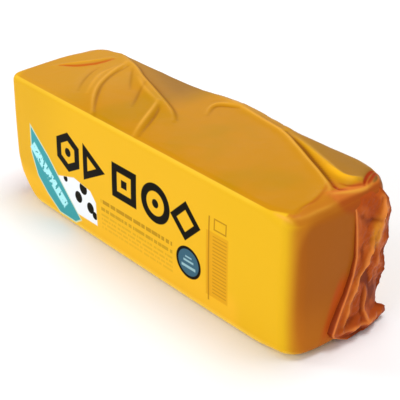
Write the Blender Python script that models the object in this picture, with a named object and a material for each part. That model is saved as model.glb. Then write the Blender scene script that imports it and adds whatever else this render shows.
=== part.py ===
# A 3 kg bar of gouda, shut in a tight plastic film.
#
# The bar lies on its base with its length along X and its printed side towards -Y. The film is
# opaque, so bar and film are one solid: a box with soft edges and slightly swollen sides, the
# film's creases raised on it, and at each end the spare film, gathered into a flap that is folded
# against the end face and fans out into a short tail at the base. It stands on a flat rectangle.

import math

import bmesh
import bpy
import numpy as np
from mathutils import Matrix, Vector, noise

MM = 0.001

# The bar, in metres
LENGTH = 0.300
WIDTH = 0.090
HEIGHT = 0.105

# Radii of its edges. The near end is the one at +X. The far end's base is the most rounded at its
# two corners, and its upright edge at the back is rounder than the one in front.
TOP_EDGE = 0.005
BASE_EDGE = 0.004
NEAR_END_TOP, NEAR_END_BASE, NEAR_CORNER = 0.011, 0.008, 0.013
FAR_END_TOP, FAR_END_BASE, FAR_CORNER = 0.006, 0.010, 0.007
FAR_CORNER_BASE, FAR_CORNER_BACK = 0.024, 0.018

# The flat patch that it stands on, and how far the rest of the base stays clear of the surface
FOOT_LENGTH, FOOT_WIDTH, FOOT_STEP = 0.280, 0.076, 0.0012

# How far each face swells at its middle, and what share of that is left at one of its edges. The
# sides and the near end stay full down to the base, and the far end up to the top.
SWELL_TOP = 0.0020
SWELL_SIDE, SIDE_AT_BASE = 0.0022, 0.7
SWELL_NEAR_END, NEAR_AT_BASE, NEAR_AT_CORNERS = 0.0050, 2.0, 0.15
SWELL_FAR_END, FAR_AT_TOP, FAR_AT_CORNERS = 0.0050, 0.6, 0.6

# Cells of the bar's surface along X, Y and Z, closer together towards the edges, and the share
# of the triangles that is kept, most of them on the edges and creases
CELLS = (108, 38, 42)
CROWDING = 0.6
BAR_KEPT = 0.155

# Creases of the film: the points that each one runs through, in millimetres, its height, and how
# wide it is to its left and to its right, seen from outside. A negative height is a groove.
TOP = HEIGHT / MM
CREASES = (
    ([(-117, 40, TOP), (-109, 36.5, TOP), (-92, 31.5, TOP), (-71, 22, TOP), (-43, 11.5, TOP),
      (-11, -1, TOP)], 2.4, 2.0, 7.0),
    ([(-30, -1, TOP), (-16, -22, TOP), (-1, -42.5, TOP)], 1.8, 2.0, 4.0),
    ([(-102, 17, TOP), (-90, -8, TOP), (-73, -31, TOP), (-51, -43.5, TOP)], 1.8, 2.2, 5.0),
    ([(-108, 11, TOP), (-105.5, 1, TOP), (-97, -13, TOP), (-86, -27, TOP)], -0.8, 2.2, 2.5),
    ([(-79, 23, TOP), (-72, 14, TOP), (-66, 6, TOP)], 1.0, 2.2, 2.5),
    ([(-58, 13, TOP), (-50, 1, TOP), (-41, -12, TOP)], 1.0, 2.2, 3.0),
    ([(-136, -14, TOP), (-128, 3, TOP), (-122, 16, TOP), (-119, 31, TOP)], 1.7, 2.2, 4.0),
    ([(-131, -9, TOP), (-124, 2.5, TOP), (-118, 15, TOP), (-115, 30, TOP)], -1.1, 2.2, 2.4),
    ([(16, 41, TOP), (3, 35, TOP), (1, 27, TOP), (8, 15, TOP)], 0.9, 2.0, 3.0),
    ([(-20, 46, TOP), (10, 45, TOP), (34, 44, TOP), (60, 41, TOP)], 2.6, 7.0, 2.5),
    ([(6, 42, TOP), (36, 38.5, TOP), (65, 34, TOP), (88, 24.5, TOP), (119, 11, TOP), (136, 2, TOP),
      (140, -2, TOP)], 2.0, 2.0, 4.5),
    ([(66, 36.5, TOP), (91, 27, TOP), (110, 18.5, TOP), (127, 11, TOP), (137, 6, TOP)], -1.5, 2.0, 2.0),
    ([(64, 38.5, TOP), (94, 30.5, TOP), (119, 23, TOP), (131, 20, TOP), (138, 22, TOP),
      (142, 28, TOP - 1)], 2.5, 4.0, 4.0),
    ([(132, 7, TOP), (138.5, -8, TOP - 0.5), (142.5, -24, TOP - 1), (144, -38, TOP - 2)], 1.2, 3.0, 2.5),
    ([(142, -3, TOP - 0.5), (144.5, 4, TOP - 1.5), (147, 14, TOP - 2.5), (148, 24, TOP - 3),
      (145, 34, TOP - 3)], 1.5, 2.4, 2.6),
    ([(60, 45, 100), (96, 45, 97), (128, 45, 99), (146, 40, 101)], 3.2, 7.0, 9.0),
    ([(-30, 45, 98), (6, 45, 99), (48, 45, 99)], 3.6, 8.0, 8.0),
)

# The folded flap of film at each end. For a height above the base: the place of the fold that
# starts the flap (y), how far the fold and the flap's middle stand off the end face, and the
# place of its free edge (y) and how far that stands off, all in millimetres.
FLAP_STATIONS = (
    (1.2, 2, 7.0, 11.0, 35, 9.0),
    (5, -6, 9.2, 13.0, 42, 9.0),
    (8.5, -11.5, 10.8, 13.2, 42.5, 7.5),
    (10.5, -13, 11.6, 12.6, 37.5, 5.2),
    (13, -14.5, 12.2, 12.0, 36.5, 4.4),
    (18, -12, 11.8, 10.0, 36, 3.4),
    (26, -6.5, 10.4, 8.0, 40, 3.6),
    (36, 0.5, 9.0, 7.0, 42, 4.6),
    (48, 6, 8.2, 6.4, 42, 3.6),
    (60, 9, 7.4, 6.0, 43, 4.4),
    (72, 9, 6.6, 5.8, 43, 5.2),
    (82, 9, 5.6, 5.2, 42, 5.4),
    (92, 9, 4.0, 4.0, 40, 3.6),
    (99, 9, 1.0, 1.4, 36, 0.5),
    (103, 10, -3.0, -2.6, 30, -4.0),
)
FLAP_CELLS = (46, 76)
FLAP_KEPT = 0.15
FLAP_BURIED = 0.020  # how far the thick part of the flap reaches into the bar
FLAP_SKIN = 0.0022  # thickness of its free edge
FLAP_FOOT = 0.004  # width of the slope from the end face up to the fold

# Creases of the flap, as those of the bar, with points (y, z) on the end face
FLAP_CREASES = (
    ([(37, 93), (36.5, 82), (34.5, 68), (34, 56), (32, 46)], 2.6, 3.6, 2.4),
    ([(24, 64), (21.8, 58), (18.8, 50), (12.5, 40), (7, 29), (1, 14)], 2.2, 2.4, 2.2),
    ([(29, 76), (27.5, 66), (28, 52)], -1.6, 2.2, 2.2),
    ([(22, 41), (23.5, 36), (26, 26), (26, 15)], -2.2, 2.6, 2.6),
    ([(11, 91), (18, 84), (26, 81), (34, 79), (43, 81)], -1.6, 2.4, 2.6),
    ([(16, 72), (15, 62), (15, 52)], -1.3, 2.2, 2.2),
    ([(19, 32), (15.5, 22), (13, 10)], -1.6, 2.2, 2.2),
    ([(30, 46), (30, 34), (32, 22)], 1.8, 2.2, 2.4),
    ([(21, 32), (18, 19), (19, 8)], 1.8, 2.2, 2.2),
    ([(-8, 11), (6, 10), (22, 8), (37, 6)], 1.5, 2.2, 2.2),
)
CRUMPLE_SIZE = 0.017
CRUMPLE_DEPTH = 0.0013


def clear_scene():
    for old in list(bpy.data.objects):
        bpy.data.objects.remove(old, do_unlink=True)


def ease(low, high, value):
    t = np.clip((value - low) / (high - low), 0.0, 1.0)
    return t * t * (3.0 - 2.0 * t)


def mix(a, b, t):
    return a + (b - a) * t


def box_lattice():
    """Keys of the points on a box's surface, -1 to 1 along each axis, and the quads on them."""
    steps = []
    for cells in CELLS:
        even = np.linspace(-1.0, 1.0, cells + 1)
        steps.append(mix(even, np.sin(even * math.pi / 2.0), CROWDING))
    index, points, quads = {}, [], []

    def point(key):
        if key not in index:
            index[key] = len(points)
            points.append([steps[axis][key[axis]] for axis in range(3)])
        return index[key]

    for axis in range(3):
        one, two = (axis + 1) % 3, (axis + 2) % 3
        for end in (0, CELLS[axis]):
            for m in range(CELLS[one]):
                for n in range(CELLS[two]):
                    quad = []
                    for dm, dn in ((0, 0), (1, 0), (1, 1), (0, 1)):
                        key = [0, 0, 0]
                        key[axis], key[one], key[two] = end, m + dm, n + dn
                        quad.append(point(tuple(key)))
                    quads.append(quad if end else quad[::-1])
    return np.array(points), quads


def edge_radii(key):
    """The three half axes of the rounding at each point of the box."""
    up = ease(-1.0, 1.0, key[:, 2])
    near = ease(-0.9, 0.9, key[:, 0])
    at_end = ease(0.80, 1.0, abs(key[:, 0]))
    far_base = mix(FAR_END_BASE, FAR_CORNER_BASE, ease(0.3, 1.0, abs(key[:, 1])))
    top = mix(FAR_END_TOP, NEAR_END_TOP, near)
    base = mix(far_base, NEAR_END_BASE, near)
    end_edge = mix(base, top, ease(-1.0, -0.3, key[:, 2]))
    far_back = (1.0 - near) * ease(0.0, 1.0, key[:, 1])
    end_edge = mix(end_edge, np.maximum(end_edge, FAR_CORNER_BACK), far_back * at_end)
    long_edge = mix(BASE_EDGE, TOP_EDGE, up)
    corner = mix(mix(FAR_CORNER, NEAR_CORNER, near), FAR_CORNER_BACK, far_back)
    sideways = mix(long_edge, corner, at_end)
    upright = mix(long_edge, mix(base, top, up), at_end)
    return np.stack([end_edge, sideways, upright], axis=1)


def bar_surface(key):
    """Points of the swollen, rounded bar and its outward normals, for the keys of the lattice."""
    half = np.array([LENGTH, WIDTH, HEIGHT - FOOT_STEP]) / 2.0
    radii = edge_radii(key)
    flat = np.clip(key * half, radii - half, half - radii)
    lean = (key * half - flat) / radii
    normals = lean / np.linalg.norm(lean, axis=1, keepdims=True)
    points = flat + normals * radii
    along, across, up = (points / half).T
    length_arch = 1.0 - along ** 4
    width_arch = 1.0 - abs(across) ** 3
    low, high = np.clip(-up, 0.0, 1.0) ** 2, np.clip(up, 0.0, 1.0) ** 2
    side = SWELL_SIDE * (1.0 - high) * mix(1.0, SIDE_AT_BASE, low)
    near = SWELL_NEAR_END * np.sqrt(1.0 - high) * mix(1.0, NEAR_AT_BASE, low)
    near *= mix(NEAR_AT_CORNERS, 1.0, width_arch)
    far = SWELL_FAR_END * np.sqrt(1.0 - low) * mix(1.0, FAR_AT_TOP, high)
    far *= mix(FAR_AT_CORNERS, 1.0, width_arch)
    points[:, 0] += np.where(along > 0.0, near, far) * along ** 9
    points[:, 1] += side * across ** 5 * length_arch
    points[:, 2] += SWELL_TOP * high * up ** 3 * length_arch * width_arch
    return points + [0.0, 0.0, (HEIGHT + FOOT_STEP) / 2.0], normals


def curve_through(points, pieces=10):
    """Points along a smooth curve through the given ones (Catmull-Rom)."""
    points = np.array(points, dtype=float) * MM
    knots = [2 * points[0] - points[1], *points, 2 * points[-1] - points[-2]]
    path = []
    for before, a, b, after in zip(knots, knots[1:], knots[2:], knots[3:]):
        for t in np.linspace(0.0, 1.0, pieces, endpoint=False):
            path.append(0.5 * (
                2 * a + (b - before) * t + (2 * before - 5 * a + 4 * b - after) * t ** 2
                + (3 * a - before - 3 * b + after) * t ** 3
            ))
    return np.array([*path, points[-1]])


def crease_rise(points, normals, path, height, left, right):
    """How far one crease lifts the film: a sharp line with a slope of its own width each side."""
    nearest = np.full(len(points), np.inf)
    side = np.zeros(len(points))
    place = np.zeros(len(points))
    for i, (a, b) in enumerate(zip(path, path[1:])):
        run = b - a
        t = np.clip((points - a) @ run / (run @ run), 0.0, 1.0)
        away = points - a - t[:, None] * run
        gap = np.linalg.norm(away, axis=1)
        closer = gap < nearest
        nearest = np.where(closer, gap, nearest)
        turn = (np.cross(normals, run) * away).sum(axis=1)
        side = np.where(closer, turn, side)
        place = np.where(closer, (i + t) / (len(path) - 1), place)
    width = np.where(side > 0.0, left, right) * MM
    blunt = 0.4 * MM
    slope = np.sqrt(nearest ** 2 + blunt ** 2) - blunt
    fade = np.sin(math.pi * np.clip(place, 0.05, 0.95)) ** 0.5
    return height * MM * fade * np.exp(-((slope / width) ** 1.3))


def follow_top(path):
    """The path, raised with the swollen top."""
    along, across, up = (path / [LENGTH / 2, WIDTH / 2, HEIGHT]).T
    raised = SWELL_TOP * (2 * up - 1) ** 5 * (1 - along ** 4) * (1 - abs(across) ** 3)
    return path + np.outer(raised, [0.0, 0.0, 1.0])


def new_object(name, points, quads):
    mesh = bpy.data.meshes.new(name)
    mesh.from_pydata([tuple(p) for p in points], [], [tuple(q) for q in quads])
    made = bpy.data.objects.new(name, mesh)
    bpy.context.scene.collection.objects.link(made)
    return made


def apply_modifiers(made):
    bpy.context.view_layer.update()
    graph = bpy.context.evaluated_depsgraph_get()
    made.data = bpy.data.meshes.new_from_object(made.evaluated_get(graph))
    made.modifiers.clear()


def thin_out(made, kept):
    """Drops triangles where the surface is nearly flat, down to a share of them."""
    fewer = made.modifiers.new("fewer_triangles", "DECIMATE")
    fewer.decimate_type = "COLLAPSE"
    fewer.ratio = kept
    apply_modifiers(made)


def make_bar(name):
    key, quads = box_lattice()
    points, normals = bar_surface(key)
    upper = ease(0.3, 0.7, points[:, 2] / HEIGHT)
    rise = np.zeros(len(points))
    for through, height, left, right in CREASES:
        rise += crease_rise(points, normals, follow_top(curve_through(through)), height, left, right)
    points = points + normals * (rise * upper)[:, None]
    made = new_object(name, points, quads)
    thin_out(made, BAR_KEPT)
    return made


def crumple(y, z, seed):
    """Sharp-crested unevenness of slack film, about -1 to 1."""
    at = Vector((seed, y, z)) / CRUMPLE_SIZE
    return 1.0 - 3.2 * abs(noise.noise(at)) - 1.0 * abs(noise.noise(at * 2.3))


def flap_front(across, height, seed):
    """Points of the flap's outer face. Below 0 across it slopes from the fold to the bar."""
    table = np.array(FLAP_STATIONS, dtype=float) * MM
    fold_y, fold_off, middle_off, edge_y, edge_off = (
        np.interp(height, table[:, 0], table[:, column]) for column in range(1, 6)
    )
    on_flap = np.clip(across, 0.0, 1.0)
    y = mix(fold_y, edge_y, on_flap)
    off = mix(mix(fold_off, middle_off, ease(0.0, 0.5, on_flap)), edge_off, ease(0.5, 1.0, on_flap))
    on_end = np.stack([np.zeros_like(y), y, height], axis=1)
    outwards = np.broadcast_to([1.0, 0.0, 0.0], on_end.shape)
    rise = CRUMPLE_DEPTH * np.array([crumple(b, c, seed) for b, c in zip(y, height)])
    for through, crease_height, left, right in FLAP_CREASES:
        path = curve_through([(0.0, *point) for point in through])
        rise += crease_rise(on_end, outwards, path, crease_height, left, right)
    off += rise * ease(0.0, 0.15, on_flap) * ease(1.0, 0.9, height / HEIGHT)
    before = np.clip(-across, 0.0, 1.0)
    y = y - FLAP_FOOT * before
    off = mix(off, -FLAP_BURIED, before ** 1.3)
    return np.stack([LENGTH / 2 + off, y, height], axis=1)


def make_flap(name, side, seed):
    """The gathered film at one end (side 1 or -1). It is thick and buried in the bar along its
    fold, and thins out to a free skin that stands past the bar's rounded corner."""
    columns = np.array([-1.0, -0.7, -0.4, -0.2, -0.07, *np.linspace(0.0, 1.0, FLAP_CELLS[0])])
    heights = np.linspace(FLAP_STATIONS[0][0], FLAP_STATIONS[-1][0], FLAP_CELLS[1]) * MM
    wide, high = len(columns), len(heights)
    across = np.tile(columns, high)
    front = flap_front(across, np.repeat(heights, wide), seed)
    back = front - [FLAP_SKIN, 0.0, 0.0]
    root = LENGTH / 2 - FLAP_BURIED
    back[:, 0] = np.minimum(back[:, 0], mix(root, back[:, 0], ease(0.55, 0.92, across)))
    points = np.concatenate([front, back]) * [side, 1.0, 1.0]
    quads = []
    for i in range(high - 1):
        for j in range(wide - 1):
            a = i * wide + j
            quad = [a, a + 1, a + wide + 1, a + wide]
            quads += [quad, [corner + wide * high for corner in quad]]
    rim = [j for j in range(wide)] + [i * wide + wide - 1 for i in range(1, high)]
    rim += [(high - 1) * wide + j for j in reversed(range(wide - 1))]
    rim += [i * wide for i in reversed(range(1, high - 1))]
    for here, there in zip(rim, rim[1:] + rim[:1]):
        quads.append([here, there, there + wide * high, here + wide * high])
    made = new_object(name, points, quads)
    face_outwards(made.data)
    thin_out(made, FLAP_KEPT)
    return made


def make_foot(name):
    """The rectangle of film that lies pressed flat under the bar, as a plate that reaches up into
    it."""
    top = FOOT_STEP + BASE_EDGE
    size = Matrix.Diagonal((FOOT_LENGTH, FOOT_WIDTH, top, 1.0))
    plate = bmesh.new()
    bmesh.ops.create_cube(plate, size=1.0, matrix=Matrix.Translation((0.0, 0.0, top / 2.0)) @ size)
    mesh = bpy.data.meshes.new(name)
    plate.to_mesh(mesh)
    plate.free()
    made = bpy.data.objects.new(name, mesh)
    bpy.context.scene.collection.objects.link(made)
    return made


def face_outwards(mesh):
    turned = bmesh.new()
    turned.from_mesh(mesh)
    bmesh.ops.recalc_face_normals(turned, faces=turned.faces)
    turned.to_mesh(mesh)
    turned.free()


def fuse(body, pieces):
    """Joins the pieces to the body by one Boolean union, applied, and removes them."""
    joined = bpy.data.collections.new("flaps_and_foot")
    bpy.context.scene.collection.children.link(joined)
    for piece in pieces:
        bpy.context.scene.collection.objects.unlink(piece)
        joined.objects.link(piece)
    union = body.modifiers.new("fuse_pieces", "BOOLEAN")
    union.operation = "UNION"
    union.operand_type = "COLLECTION"
    union.collection = joined
    union.solver = "EXACT"
    apply_modifiers(body)
    for piece in pieces:
        bpy.data.objects.remove(piece, do_unlink=True)
    bpy.data.collections.remove(joined)


def film_material():
    material = bpy.data.materials.new("amber_film")
    material.use_nodes = True
    shader = material.node_tree.nodes["Principled BSDF"]
    shader.inputs["Base Color"].default_value = (0.82, 0.40, 0.02, 1.0)
    shader.inputs["Roughness"].default_value = 0.38
    shader.inputs["Metallic"].default_value = 0.0
    return material


def main():
    clear_scene()
    pack = make_bar("gouda_pack")
    flaps = [make_flap("near_flap", 1, 3.7), make_flap("far_flap", -1, 11.2)]
    fuse(pack, [*flaps, make_foot("foot")])
    pack.data.materials.clear()
    pack.data.materials.append(film_material())
    pack.data.shade_smooth()
    pack.data.set_sharp_from_angle(angle=math.radians(50.0))


main()
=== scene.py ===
import math

import bmesh
import bpy
import numpy as np
from mathutils import Matrix, Vector, noise


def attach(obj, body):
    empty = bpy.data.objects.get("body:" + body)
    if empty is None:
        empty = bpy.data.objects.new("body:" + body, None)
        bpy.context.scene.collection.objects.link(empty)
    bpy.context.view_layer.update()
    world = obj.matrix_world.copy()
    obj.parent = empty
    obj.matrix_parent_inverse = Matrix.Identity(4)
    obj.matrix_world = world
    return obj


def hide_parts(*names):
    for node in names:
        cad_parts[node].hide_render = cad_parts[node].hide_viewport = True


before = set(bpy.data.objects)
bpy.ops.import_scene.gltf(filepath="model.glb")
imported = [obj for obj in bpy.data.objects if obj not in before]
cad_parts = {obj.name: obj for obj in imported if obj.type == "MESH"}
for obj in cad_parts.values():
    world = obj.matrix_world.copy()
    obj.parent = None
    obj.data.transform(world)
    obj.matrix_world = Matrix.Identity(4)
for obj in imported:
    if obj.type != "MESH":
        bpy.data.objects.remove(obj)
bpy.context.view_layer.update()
mm = 0.001
nodeName = "gouda_pack"


# Helpers for node trees

def operator(operation):
    return lambda wire, other: wire.graph.maths(operation, wire, other)


def reflected(operation):
    return lambda wire, other: wire.graph.maths(operation, other, wire)


class Wire:
    # one socket of a tree; an expression on it adds Math nodes
    def __init__(self, graph, socket):
        self.graph = graph
        self.socket = socket

    def outlet(self, name):
        return Wire(self.graph, self.socket.node.outputs[name])

    def maths(self, operation, *others):
        return self.graph.maths(operation, self, *others)

    def __neg__(self):
        return self * -1.0

    def __abs__(self):
        return self.maths("ABSOLUTE")

    __add__ = __radd__ = operator("ADD")
    __mul__ = __rmul__ = operator("MULTIPLY")
    __pow__ = operator("POWER")
    __sub__ = operator("SUBTRACT")
    __rsub__ = reflected("SUBTRACT")
    __truediv__ = operator("DIVIDE")
    __rtruediv__ = reflected("DIVIDE")


class Graph:
    def __init__(self, tree):
        self.tree = tree

    def add(self, kind, settings=None, values=None, out=0):
        # any node: its type, its settings, then the values or links of its sockets
        node = self.tree.nodes.new(kind)
        for name, value in (settings or {}).items():
            if name == "stops":
                self.setStops(node.color_ramp, value)
            else:
                setattr(node, name, value)
        for name, value in (values or {}).items():
            if isinstance(value, Wire):
                self.tree.links.new(value.socket, node.inputs[name])
            else:
                node.inputs[name].default_value = value
        return Wire(self, node.outputs[out]) if len(node.outputs) else node

    def setStops(self, ramp, stops):
        while len(ramp.elements) > 1:
            ramp.elements.remove(ramp.elements[-1])
        for number, (place, colour) in enumerate(stops):
            stop = ramp.elements[0] if number == 0 else ramp.elements.new(place)
            stop.position = place
            stop.color = colour

    def maths(self, operation, *values):
        return self.add("ShaderNodeMath", {"operation": operation}, dict(enumerate(values)))

    def vector(self, operation, a, b=None, scale=None):
        values = {0: a}
        if b is not None:
            values[1] = b
        if scale is not None:
            values["Scale"] = scale
        out = "Value" if operation == "DOT_PRODUCT" else "Vector"
        return self.add("ShaderNodeVectorMath", {"operation": operation}, values, out)

    def split(self, vector):
        parts = self.add("ShaderNodeSeparateXYZ", None, {"Vector": vector})
        return [parts.outlet(axis) for axis in "XYZ"]

    def join(self, x, y, z):
        return self.add("ShaderNodeCombineXYZ", None, {"X": x, "Y": y, "Z": z})

    def colour(self, a, b, share):
        # from colour a to colour b as share goes from 0 to 1
        return self.add("ShaderNodeMix", {"data_type": "RGBA"}, {0: share, 6: a, 7: b}, 2)

    def ease(self, low, high, value):
        values = {"Value": value, "From Min": low, "From Max": high, "To Min": 0.0, "To Max": 1.0}
        return self.add("ShaderNodeMapRange", {"interpolation_type": "SMOOTHSTEP"}, values)

    def noise(self, where, scale, detail, roughness=0.5):
        values = {"Vector": where, "Scale": scale, "Detail": detail, "Roughness": roughness}
        return self.add("ShaderNodeTexNoise", None, values)

    def feed(self, value, node, name):
        self.tree.links.new(value.socket, node.inputs[name])

    # named attributes, in geometry trees
    def recall(self, name, kind="FLOAT_VECTOR"):
        return self.add("GeometryNodeInputNamedAttribute", {"data_type": kind}, {"Name": name})

    def store(self, mesh, name, value, kind="FLOAT_VECTOR"):
        settings = {"data_type": kind, "domain": "POINT"}
        values = {"Geometry": mesh, "Name": name, "Value": value}
        return self.add("GeometryNodeStoreNamedAttribute", settings, values)


def most(first, *others):
    for other in others:
        first = first.maths("MAXIMUM", other)
    return first


def least(first, *others):
    for other in others:
        first = first.maths("MINIMUM", other)
    return first


def blended(a, b, share):
    return a + (b - a) * share


def easeArray(low, high, value):
    t = np.clip((value - low) / (high - low), 0.0, 1.0)
    return t * t * (3.0 - 2.0 * t)


def paint(red, green, blue):
    # a colour as an image editor gives it, 0 to 255, in linear light
    def linear(part):
        part /= 255.0
        return part / 12.92 if part <= 0.04045 else ((part + 0.055) / 1.055) ** 2.4
    return (linear(red), linear(green), linear(blue), 1.0)


# The wrapped bar: a rounded, swollen box with the film's creases raised on it

filmBar = {
    "sizes": {  # metres and shares, each an input of the node tree
        "length": 0.300, "width": 0.090, "height": 0.105,
        "topEdge": 0.005, "baseEdge": 0.004,
        "nearEndTop": 0.011, "nearEndBase": 0.008, "nearCorner": 0.013,
        "farEndTop": 0.006, "farEndBase": 0.010, "farCorner": 0.007,
        "farCornerBase": 0.024, "farCornerBack": 0.018,
        "swellTop": 0.0020, "swellSide": 0.0022, "sideAtBase": 0.7,
        "swellNear": 0.0050, "nearAtBase": 2.0, "nearAtCorners": 0.15,
        "swellFar": 0.0050, "farAtTop": 0.6, "farAtCorners": 0.6,
        "footLength": 0.280, "footWidth": 0.076, "footStep": 0.0012,
        "crowding": 0.6, "wrinkleDepth": 0.00018, "wrinkleSize": 0.030,
        "cellsX": 300, "cellsY": 98, "cellsZ": 52,
    },
    # each crease: points it runs through, height, width to its left and right, in millimetres,
    # and how much painted pale highlight, dark shade and yellow highlight there is along its line; a point
    # without z is on the top
    "topZ": 105,
    "creases": [
        ([(-117, 40), (-109, 36.5), (-92, 31.5), (-71, 22), (-43, 11.5), (-11, -1), (1, -10)],
          2.4, 1.6, 7, (0.35, 0, 0)),
        ([(-108, 38.5), (-91, 34), (-70, 24.4), (-42, 14), (-12, 2), (2, -7)], -0.8, 1.2, 1.4, (0, 1, 0)),
        ([(-30, 2), (-19.5, -14), (-12.5, -26), (-3, -42.5)], 1.8, 1.6, 3.6, (1, 0, 0)),
        ([(-24, -2), (-18, -8), (-9.5, -21.5), (1, -41)], -0.9, 1.4, 1.4, (0, 1, 0)),
        ([(-102, 31), (-96.5, 16), (-88.5, -1), (-79, -15.5), (-68, -27.5), (-51, -42)],
          1.9, 2, 4.5, (0.9, 0, 0)),
        ([(-95, 27), (-91, 9), (-82, -8), (-71, -21), (-57.5, -34), (-46, -43.5)],
          -1, 1.6, 1.6, (0, 0.9, 0)),
        ([(-100, 17.5), (-98, 3.5), (-89, -11.5), (-76.5, -27)], 0.9, 1.8, 2.5, (0.6, 0, 0)),
        ([(-110, 11), (-107, 1), (-98, -14), (-86, -28)], -0.8, 1.8, 2.5, (0, 0.5, 0)),
        ([(-88, 25.5), (-75.5, 14), (-60.5, 1)], -0.7, 1.6, 2, (0, 0.6, 0)),
        ([(-61, 16), (-53, 4), (-45, -6), (-37, -16)], -0.9, 1.6, 2, (0, 0.8, 0)),
        ([(-72, 18), (-53, 9), (-30, 1.5)], 0.7, 1.6, 3, (0.5, 0, 0)),
        ([(-137, -13), (-129.5, 1), (-123, 14), (-120, 29)], 1.7, 2, 4, (0.3, 0, 0.2)),
        ([(-134, -10), (-126.5, -2), (-120.5, 8), (-117.5, 17), (-116, 29)], -1.2, 1.6, 2.4, (0, 2.6, 0)),
        ([(16, 41), (3, 35), (1, 27), (8, 15)], 0.9, 1.5, 3, (0.6, 0, 0)),
        ([(17, 38), (6, 32.5), (4, 26), (11, 14)], -0.6, 1.4, 1.6, (0, 0.7, 0)),
        ([(-20, 46), (10, 45), (34, 44), (60, 41)], 2.6, 7, 2.5, (0, 0, 0)),
        ([(6, 42), (36, 38.5), (65, 34), (88, 24.5), (119, 11), (136, 2), (140, -2)],
          2, 1.6, 4.5, (0.9, 0, 0)),
        ([(66, 36.5), (91, 27), (110, 18.5), (127, 11), (137, 6)], -1.8, 1.6, 1.8, (0, 2.2, 0)),
        ([(64, 38.5), (94, 29.5), (119, 21.5), (131, 18.5), (138, 21), (142, 27, 104)],
          2.5, 3.4, 3.6, (0, 0, 0.55)),
        ([(114, 21.5), (124, 19), (132, 18), (138, 20), (141, 25, 104)], 0.5, 3, 3, (0.2, 0, 1)),
        ([(131, 9.5), (137, 6.5), (141, 6, 104.5), (143.5, 9, 104)], -0.8, 1.6, 1.8, (0, 1.5, 0)),
        ([(132, 7), (138.5, -8, 104.5), (142.5, -24, 104), (144, -38, 103)], 1.2, 3, 2.5, (0, 0.3, 0)),
        ([(143, -35, 104), (141.5, -26, 104.5), (141, -15, 104.5), (136, 1)], -0.7, 1.6, 1.6, (0, 0.6, 0)),
        ([(144, -42, 103), (147, -33, 102), (147.5, -22, 102), (148, -12, 102), (148, -4, 102.5)],
          1.1, 2.4, 2.4, (0.4, 0, 0)),
        ([(133, -42.8, 103.2), (139.5, -41.7, 102.4), (144.5, -40.3, 101)], 0.5, 2, 2, (1.2, 0, 0)),
        ([(142, -3, 104.5), (144.5, 4, 103.5), (147, 14, 102.5), (148, 24, 102), (145, 34, 102)],
          1.5, 2.2, 2.6, (0.8, 0, 0)),
        ([(137, 11.5), (141.5, 14, 104.6), (144.5, 21, 103.5), (145, 29, 103)],
          -0.8, 1.6, 1.6, (0, 0.9, 0)),
        ([(146, 24, 103), (143, 29, 104), (140, 36, 104.5), (138, 44, 103)], -1.5, 1.8, 2.4, (0, 2.4, 0)),
        ([(148, 25, 101), (145.5, 30, 103), (142.5, 37, 103.5), (140, 43, 102.5)],
          -0.5, 1.6, 1.6, (0, 2, 0)),
        ([(60, 45, 100), (96, 45, 97), (128, 45, 99), (146, 40, 101)], 3.2, 7, 9, (0, 0, 0)),
        ([(-30, 45, 98), (6, 45, 99), (48, 45, 99)], 3.6, 8, 8, (0, 0, 0)),
    ],
    "toneWidths": (1.2, 1.1, 2.8),  # how far the painted pale highlight, dark shade and yellow highlight reach from the line
    "stepsBetween": 12,  # pieces between two points of a crease
    "blunt": 0.4, "falloff": 1.3,  # how round a crease's ridge is, and how it runs out sideways
    "raised": (0.3, 0.7),  # shares of the height between which the creases set in
    # where one end's or edge's radius gives way to the next, in shares of the half sizes
    "farToNear": (-0.9, 0.9), "atEnd": (0.80, 1.0), "farCornerFrom": (0.3, 1.0), "baseToTop": (-1.0, -0.3),
    # how steeply the swell falls off along and across the bar, and towards its faces
    "lengthPower": 4.0, "widthPower": 3.0, "facePower": 5.0, "endPower": 9.0,
    # the film's unevenness: slant and contrast of its ridges, and how strong it is at each side
    "slant": (0.9, 0.5), "ridgeContrast": 6.0,
    "unevenEverywhere": 0.12, "unevenEnds": 0.4, "unevenBack": 0.8, "evenNearBase": (0.002, 0.012),
}


def curveThrough(points, pieces):
    points = np.array(points, dtype=float) * mm
    knots = [2 * points[0] - points[1], *points, 2 * points[-1] - points[-2]]
    path = []
    for before, a, b, after in zip(knots, knots[1:], knots[2:], knots[3:]):
        for t in np.linspace(0.0, 1.0, pieces, endpoint=False):
            path.append(0.5 * (
                2 * a + (b - before) * t + (2 * before - 5 * a + 4 * b - after) * t ** 2
                + (3 * a - before - 3 * b + after) * t ** 3
            ))
    return np.array([*path, points[-1]])


def fadeAtEnds(share):
    # a crease is full along its middle and runs out at both ends
    return np.sqrt(np.sin(math.pi * np.clip(share, 0.05, 0.95)))


def addToScene(name, data):
    made = bpy.data.objects.new(name, data)
    bpy.context.scene.collection.objects.link(made)
    return made


def fillAttribute(mesh, name, kind, values):
    layer = mesh.attributes.new(name, kind, "POINT")
    field = "vector" if kind == "FLOAT_VECTOR" else "value"
    layer.data.foreach_set(field, np.array(values).ravel())


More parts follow.
